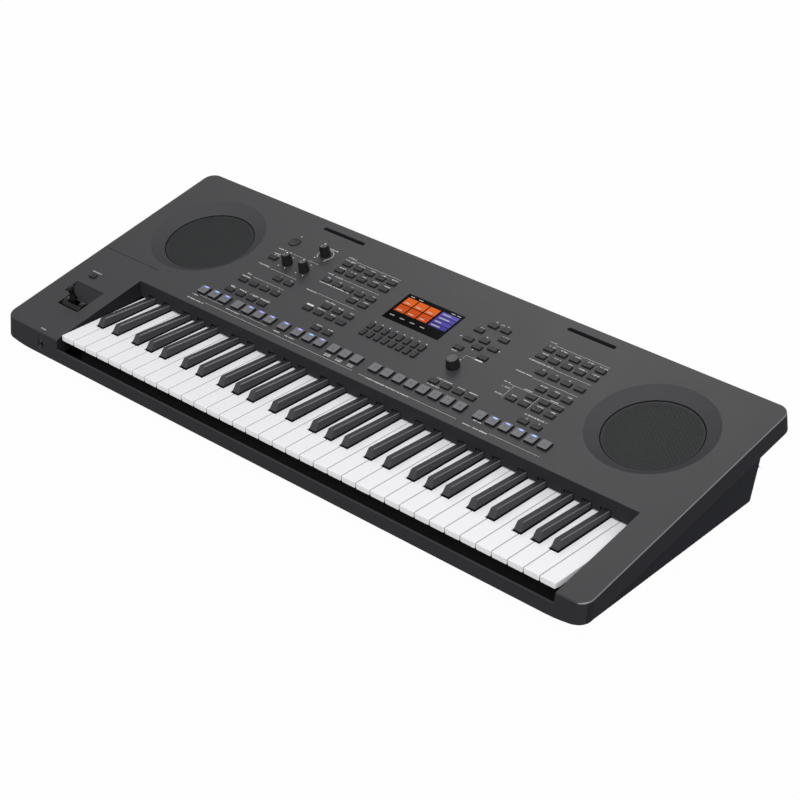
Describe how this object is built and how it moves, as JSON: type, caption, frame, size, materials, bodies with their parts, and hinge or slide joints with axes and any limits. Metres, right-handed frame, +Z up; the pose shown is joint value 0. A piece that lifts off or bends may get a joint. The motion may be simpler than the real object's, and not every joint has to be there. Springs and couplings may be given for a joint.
{
  "type": "arranger keyboard",
  "caption": "Free-standing electronic keyboard with sprung keys, speakers, a colour display, a joystick and rows of panel buttons, pads and knobs.",
  "frame": {"origin": "on the floor under the middle of the outline", "axes": "+X along the keys towards the high notes, +Y to the back, +Z up"},
  "size_m": [1.004, 0.3986, 0.1388],
  "materials": {
    "case_upper": "fine-textured moulded charcoal plastic",
    "case_lower": "textured near-black plastic",
    "white_key": "glossy off-white plastic",
    "black_key": "satin black plastic",
    "key_bed": "black moulded plastic",
    "felt": "pressed wool felt",
    "circuit_board": "green solder mask",
    "grille": "perforated steel sheet, satin black",
    "speaker_frame": "pressed steel and magnet",
    "speaker_cone": "doped paper",
    "button": "satin black plastic",
    "pad": "grey satin silicone-feel plastic",
    "knob": "satin black plastic",
    "joystick": "satin black plastic",
    "window": "clear screen window",
    "display": "display module",
    "socket": "black socket plastic",
    "socket_shell": "plated steel shell",
    "foot": "black rubber",
    "screw": "black zinc"
  },
  "bodies": {
    "case": {"bottom_case": "case_lower", "case_screws": "screw", "dc_inlet": "socket", "display_module": "display", "display_window": "window", "headphone_jack": "socket", "joystick_bracket": "joystick", "key_contact_board": "circuit_board", "key_felt": "felt", "key_frame": "key_bed", "left_speaker_basket": "speaker_frame", "left_speaker_grille": "grille", "main_board": "circuit_board", "panel_board": "circuit_board", "rear_phone_jacks": "socket", "right_speaker_basket": "speaker_frame", "right_speaker_grille": "grille", "rubber_feet": "foot", "top_case": "case_upper", "usb_device_socket": "socket_shell", "usb_host_socket": "socket_shell"},
    "black_keys_1": {"black_keys_1": "black_key"},
    "black_keys_2": {"black_keys_2": "black_key"},
    "black_keys_3": {"black_keys_3": "black_key"},
    "black_keys_4": {"black_keys_4": "black_key"},
    "black_keys_5": {"black_keys_5": "black_key"},
    "white_key_last": {"white_key_last": "white_key"},
    "white_keys_a_1": {"white_keys_a_1": "white_key"},
    "white_keys_a_2": {"white_keys_a_2": "white_key"},
    "white_keys_a_3": {"white_keys_a_3": "white_key"},
    "white_keys_a_4": {"white_keys_a_4": "white_key"},
    "white_keys_a_5": {"white_keys_a_5": "white_key"},
    "white_keys_b_1": {"white_keys_b_1": "white_key"},
    "white_keys_b_2": {"white_keys_b_2": "white_key"},
    "white_keys_b_3": {"white_keys_b_3": "white_key"},
    "white_keys_b_4": {"white_keys_b_4": "white_key"},
    "white_keys_b_5": {"white_keys_b_5": "white_key"},
    "style_buttons": {"style_buttons": "button"},
    "song_buttons_rear": {"song_buttons_rear": "button"},
    "song_buttons_middle": {"song_buttons_middle": "button"},
    "song_buttons_front": {"song_buttons_front": "button"},
    "navigation_buttons": {"navigation_buttons": "button"},
    "dial_buttons": {"dial_buttons": "button"},
    "voice_buttons_rear": {"voice_buttons_rear": "button"},
    "voice_buttons_front": {"voice_buttons_front": "button"},
    "style_pads_left": {"style_pads_left": "pad"},
    "style_pads_right": {"style_pads_right": "pad"},
    "registration_pads": {"registration_pads": "pad"},
    "part_pads": {"part_pads": "pad"},
    "mixer_buttons": {"mixer_buttons": "button"},
    "joystick_button": {"joystick_button": "button"},
    "power_button": {"power_button": "button"},
    "control_knob_left": {"control_knob_left": "knob"},
    "control_knob_right": {"control_knob_right": "knob"},
    "volume_knob": {"volume_knob": "knob"},
    "data_dial": {"data_dial": "knob"},
    "left_speaker_cone": {"left_speaker_cone": "speaker_cone"},
    "right_speaker_cone": {"right_speaker_cone": "speaker_cone"},
    "joystick_drum": {"joystick_drum": "joystick"},
    "joystick_lever": {"joystick_lever": "joystick"}
  },
  "joints": [
    {"name": "black_keys_1_press", "type": "hinge", "parent": "case", "child": "black_keys_1", "pos_m": [0, -0.00025, 0.0572], "axis": [1, 0, 0], "range_deg": [0, 3.05], "stiffness_Nm_per_rad": 3, "springref_deg": -14.32},
    {"name": "black_keys_2_press", "type": "hinge", "parent": "case", "child": "black_keys_2", "pos_m": [0, -0.00025, 0.0572], "axis": [1, 0, 0], "range_deg": [0, 3.05], "stiffness_Nm_per_rad": 3, "springref_deg": -14.32},
    {"name": "black_keys_3_press", "type": "hinge", "parent": "case", "child": "black_keys_3", "pos_m": [0, -0.00025, 0.0572], "axis": [1, 0, 0], "range_deg": [0, 3.05], "stiffness_Nm_per_rad": 3, "springref_deg": -14.32},
    {"name": "black_keys_4_press", "type": "hinge", "parent": "case", "child": "black_keys_4", "pos_m": [0, -0.00025, 0.0572], "axis": [1, 0, 0], "range_deg": [0, 3.05], "stiffness_Nm_per_rad": 3, "springref_deg": -14.32},
    {"name": "black_keys_5_press", "type": "hinge", "parent": "case", "child": "black_keys_5", "pos_m": [0, -0.00025, 0.0572], "axis": [1, 0, 0], "range_deg": [0, 3.05], "stiffness_Nm_per_rad": 3, "springref_deg": -14.32},
    {"name": "white_key_last_press", "type": "hinge", "parent": "case", "child": "white_key_last", "pos_m": [0, -0.00025, 0.0512], "axis": [1, 0, 0], "range_deg": [0, 3.05], "stiffness_Nm_per_rad": 0.6, "springref_deg": -14.32},
    {"name": "white_keys_a_1_press", "type": "hinge", "parent": "case", "child": "white_keys_a_1", "pos_m": [0, -0.00025, 0.0512], "axis": [1, 0, 0], "range_deg": [0, 3.05], "stiffness_Nm_per_rad": 2.4, "springref_deg": -14.32},
    {"name": "white_keys_a_2_press", "type": "hinge", "parent": "case", "child": "white_keys_a_2", "pos_m": [0, -0.00025, 0.0512], "axis": [1, 0, 0], "range_deg": [0, 3.05], "stiffness_Nm_per_rad": 2.4, "springref_deg": -14.32},
    {"name": "white_keys_a_3_press", "type": "hinge", "parent": "case", "child": "white_keys_a_3", "pos_m": [0, -0.00025, 0.0512], "axis": [1, 0, 0], "range_deg": [0, 3.05], "stiffness_Nm_per_rad": 2.4, "springref_deg": -14.32},
    {"name": "white_keys_a_4_press", "type": "hinge", "parent": "case", "child": "white_keys_a_4", "pos_m": [0, -0.00025, 0.0512], "axis": [1, 0, 0], "range_deg": [0, 3.05], "stiffness_Nm_per_rad": 2.4, "springref_deg": -14.32},
    {"name": "white_keys_a_5_press", "type": "hinge", "parent": "case", "child": "white_keys_a_5", "pos_m": [0, -0.00025, 0.0512], "axis": [1, 0, 0], "range_deg": [0, 3.05], "stiffness_Nm_per_rad": 2.4, "springref_deg": -14.32},
    {"name": "white_keys_b_1_press", "type": "hinge", "parent": "case", "child": "white_keys_b_1", "pos_m": [0, -0.00025, 0.0542], "axis": [1, 0, 0], "range_deg": [0, 3.05], "stiffness_Nm_per_rad": 1.8, "springref_deg": -14.32},
    {"name": "white_keys_b_2_press", "type": "hinge", "parent": "case", "child": "white_keys_b_2", "pos_m": [0, -0.00025, 0.0542], "axis": [1, 0, 0], "range_deg": [0, 3.05], "stiffness_Nm_per_rad": 1.8, "springref_deg": -14.32},
    {"name": "white_keys_b_3_press", "type": "hinge", "parent": "case", "child": "white_keys_b_3", "pos_m": [0, -0.00025, 0.0542], "axis": [1, 0, 0], "range_deg": [0, 3.05], "stiffness_Nm_per_rad": 1.8, "springref_deg": -14.32},
    {"name": "white_keys_b_4_press", "type": "hinge", "parent": "case", "child": "white_keys_b_4", "pos_m": [0, -0.00025, 0.0542], "axis": [1, 0, 0], "range_deg": [0, 3.05], "stiffness_Nm_per_rad": 1.8, "springref_deg": -14.32},
    {"name": "white_keys_b_5_press", "type": "hinge", "parent": "case", "child": "white_keys_b_5", "pos_m": [0, -0.00025, 0.0542], "axis": [1, 0, 0], "range_deg": [0, 3.05], "stiffness_Nm_per_rad": 1.8, "springref_deg": -14.32},
    {"name": "style_buttons_press", "type": "slide", "parent": "case", "child": "style_buttons", "axis": [0, 0.2028, -0.9792], "range_m": [0, 0.0012], "stiffness_N_per_m": 400, "springref_m": -0.004},
    {"name": "song_buttons_rear_press", "type": "slide", "parent": "case", "child": "song_buttons_rear", "axis": [0, 0.2028, -0.9792], "range_m": [0, 0.0012], "stiffness_N_per_m": 400, "springref_m": -0.004},
    {"name": "song_buttons_middle_press", "type": "slide", "parent": "case", "child": "song_buttons_middle", "axis": [0, 0.2028, -0.9792], "range_m": [0, 0.0012], "stiffness_N_per_m": 400, "springref_m": -0.004},
    {"name": "song_buttons_front_press", "type": "slide", "parent": "case", "child": "song_buttons_front", "axis": [0, 0.2028, -0.9792], "range_m": [0, 0.0012], "stiffness_N_per_m": 400, "springref_m": -0.004},
    {"name": "navigation_buttons_press", "type": "slide", "parent": "case", "child": "navigation_buttons", "axis": [0, 0.2028, -0.9792], "range_m": [0, 0.0012], "stiffness_N_per_m": 400, "springref_m": -0.004},
    {"name": "dial_buttons_press", "type": "slide", "parent": "case", "child": "dial_buttons", "axis": [0, 0.2028, -0.9792], "range_m": [0, 0.0012], "stiffness_N_per_m": 400, "springref_m": -0.004},
    {"name": "voice_buttons_rear_press", "type": "slide", "parent": "case", "child": "voice_buttons_rear", "axis": [0, 0.2028, -0.9792], "range_m": [0, 0.0012], "stiffness_N_per_m": 400, "springref_m": -0.004},
    {"name": "voice_buttons_front_press", "type": "slide", "parent": "case", "child": "voice_buttons_front", "axis": [0, 0.2028, -0.9792], "range_m": [0, 0.0012], "stiffness_N_per_m": 400, "springref_m": -0.004},
    {"name": "style_pads_left_press", "type": "slide", "parent": "case", "child": "style_pads_left", "axis": [0, 0.2028, -0.9792], "range_m": [0, 0.0012], "stiffness_N_per_m": 400, "springref_m": -0.004},
    {"name": "style_pads_right_press", "type": "slide", "parent": "case", "child": "style_pads_right", "axis": [0, 0.2028, -0.9792], "range_m": [0, 0.0012], "stiffness_N_per_m": 400, "springref_m": -0.004},
    {"name": "registration_pads_press", "type": "slide", "parent": "case", "child": "registration_pads", "axis": [0, 0.2028, -0.9792], "range_m": [0, 0.0012], "stiffness_N_per_m": 400, "springref_m": -0.004},
    {"name": "part_pads_press", "type": "slide", "parent": "case", "child": "part_pads", "axis": [0, 0.2028, -0.9792], "range_m": [0, 0.0012], "stiffness_N_per_m": 400, "springref_m": -0.004},
    {"name": "mixer_buttons_press", "type": "slide", "parent": "case", "child": "mixer_buttons", "axis": [0, 0.2028, -0.9792], "range_m": [0, 0.0012], "stiffness_N_per_m": 400, "springref_m": -0.004},
    {"name": "joystick_button_press", "type": "slide", "parent": "case", "child": "joystick_button", "axis": [0, 0.2028, -0.9792], "range_m": [0, 0.0012], "stiffness_N_per_m": 400, "springref_m": -0.004},
    {"name": "power_button_press", "type": "slide", "parent": "case", "child": "power_button", "axis": [0, 0.2028, -0.9792], "range_m": [0, 0.0012], "stiffness_N_per_m": 400, "springref_m": -0.004},
    {"name": "control_knob_left_turn", "type": "hinge", "parent": "case", "child": "control_knob_left", "pos_m": [-0.24196, 0.08949, 0.11241], "axis": [0, -0.2028, 0.9792], "range_deg": [-150, 150]},
    {"name": "control_knob_right_turn", "type": "hinge", "parent": "case", "child": "control_knob_right", "pos_m": [-0.21004, 0.08949, 0.11241], "axis": [0, -0.2028, 0.9792], "range_deg": [-150, 150]},
    {"name": "volume_knob_turn", "type": "hinge", "parent": "case", "child": "volume_knob", "pos_m": [-0.20984, 0.1306, 0.12093], "axis": [0, -0.2028, 0.9792], "range_deg": [-150, 150]},
    {"name": "data_dial_turn", "type": "hinge", "parent": "case", "child": "data_dial", "pos_m": [0.1006, 0.04142, 0.10246], "axis": [0, -0.2028, 0.9792], "continuous": true},
    {"name": "left_speaker_cone_stroke", "type": "slide", "parent": "case", "child": "left_speaker_cone", "axis": [0, -0.2028, 0.9792], "range_m": [-0.0015, 0.0015], "stiffness_N_per_m": 1500},
    {"name": "right_speaker_cone_stroke", "type": "slide", "parent": "case", "child": "right_speaker_cone", "axis": [0, -0.2028, 0.9792], "range_m": [-0.0015, 0.0015], "stiffness_N_per_m": 1500},
    {"name": "joystick_roll", "type": "hinge", "parent": "case", "child": "joystick_drum", "pos_m": [-0.4375, -0.1243, 0.05742], "axis": [1, 0, 0], "range_deg": [-18, 18], "stiffness_Nm_per_rad": 0.3},
    {"name": "joystick_tilt", "type": "hinge", "parent": "joystick_drum", "child": "joystick_lever", "pos_m": [-0.4375, -0.1243, 0.05742], "axis": [0, 0.9792, 0.2028], "range_deg": [-18, 18], "stiffness_Nm_per_rad": 0.2}
  ]
}
